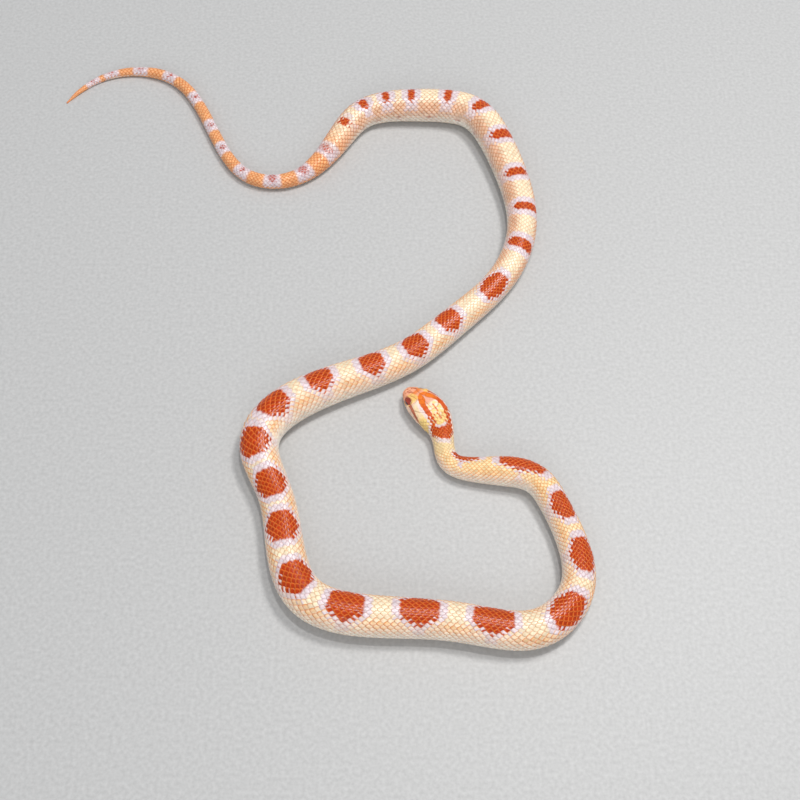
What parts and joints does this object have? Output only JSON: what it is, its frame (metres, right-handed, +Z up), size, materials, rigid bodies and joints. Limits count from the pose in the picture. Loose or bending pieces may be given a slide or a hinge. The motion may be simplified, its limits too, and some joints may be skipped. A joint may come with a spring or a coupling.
{
  "type": "corn snake",
  "caption": "Young red and cream corn snake lying at rest in open curves, a still life-size model as a museum shows it.",
  "frame": {"origin": "on the floor under the middle of the animal's outline seen from above", "axes": "+Z up from the floor, +Y towards the far curves and the tail, +X to the right as the camera sees it"},
  "size_m": [0.177, 0.2222, 0.011],
  "materials": {
    "skin": "satin scales, brick red saddles on peach and cream",
    "crown": "satin head plates, orange red bands on cream yellow",
    "belly": "satin, pale cream scutes and lips",
    "eye": "wet gloss"
  },
  "bodies": {
    "root": {"head": "crown", "lower_jaw": "belly", "eye_left": "eye", "eye_right": "eye", "neck": "skin", "trunk_1": "skin", "trunk_2": "skin", "trunk_3": "skin", "trunk_4": "skin", "trunk_5": "skin", "trunk_6": "skin", "trunk_7": "skin", "trunk_8": "skin", "trunk_9": "skin", "trunk_10": "skin", "tail_1": "skin", "tail_2": "skin", "tail_3": "skin"}
  },
  "joints": []
}
